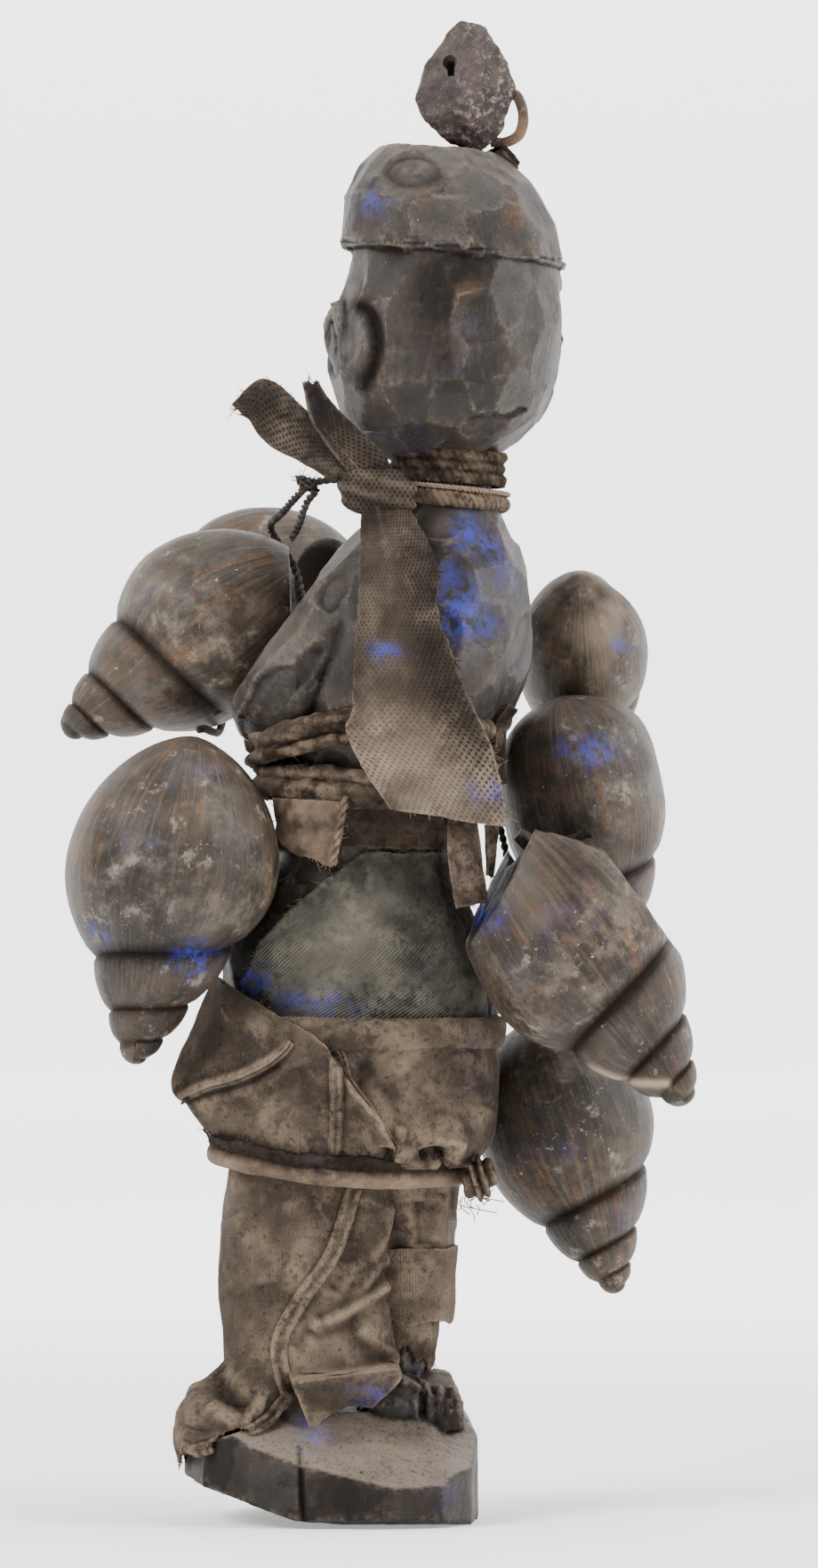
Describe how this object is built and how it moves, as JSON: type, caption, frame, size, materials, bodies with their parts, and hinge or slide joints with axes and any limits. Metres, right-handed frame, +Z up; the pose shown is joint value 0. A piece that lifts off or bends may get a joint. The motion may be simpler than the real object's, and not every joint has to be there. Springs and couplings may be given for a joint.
{
  "type": "carved power figure",
  "caption": "Carved wooden standing figure in a cap on its own base, hung with snail shells and wrapped in cloth, with a corroded padlock set on the cap",
  "frame": {"origin": "middle of the flat part of the carved base's underside", "axes": "+Z up the figure, -Y toward the pictured side, +X to the right as pictured"},
  "size_m": [0.2502, 0.2012, 0.5887],
  "materials": {
    "carved_wood": "dark encrusted carved wood with blue pigment traces",
    "shell": "weathered snail shell",
    "knit_cloth": "stained knitted cotton",
    "net_cloth": "soiled open-knit cotton",
    "twill_cloth": "soiled twill",
    "rag_cloth": "encrusted rag",
    "cord": "dark greasy cord",
    "lock_iron": "corroded",
    "shackle_iron": "rusted"
  },
  "bodies": {
    "root": {"figure": "carved_wood", "lock_body": "lock_iron", "lock_shackle": "shackle_iron", "lock_binding": "rag_cloth", "neck_band_upper": "rag_cloth", "neck_band_lower": "rag_cloth", "neck_tie": "net_cloth", "waist_band_upper": "rag_cloth", "waist_band_lower": "rag_cloth", "waist_under_wrap": "rag_cloth", "waist_flap": "rag_cloth", "waist_tab_wide": "rag_cloth", "waist_tab_narrow": "rag_cloth", "hip_cloth": "twill_cloth", "trousers": "knit_cloth", "trouser_binding": "rag_cloth", "rag_bundle": "rag_cloth", "side_strap": "rag_cloth", "shell_upper_left": "shell", "shell_behind_left": "shell", "shell_lower_left": "shell", "shell_upper_right": "shell", "shell_middle_right": "shell", "shell_front_right": "shell", "shell_lower_right": "shell", "cord_left": "cord", "cord_lower": "cord", "cord_short": "cord", "cord_right": "cord", "cord_hips": "cord"}
  },
  "joints": []
}
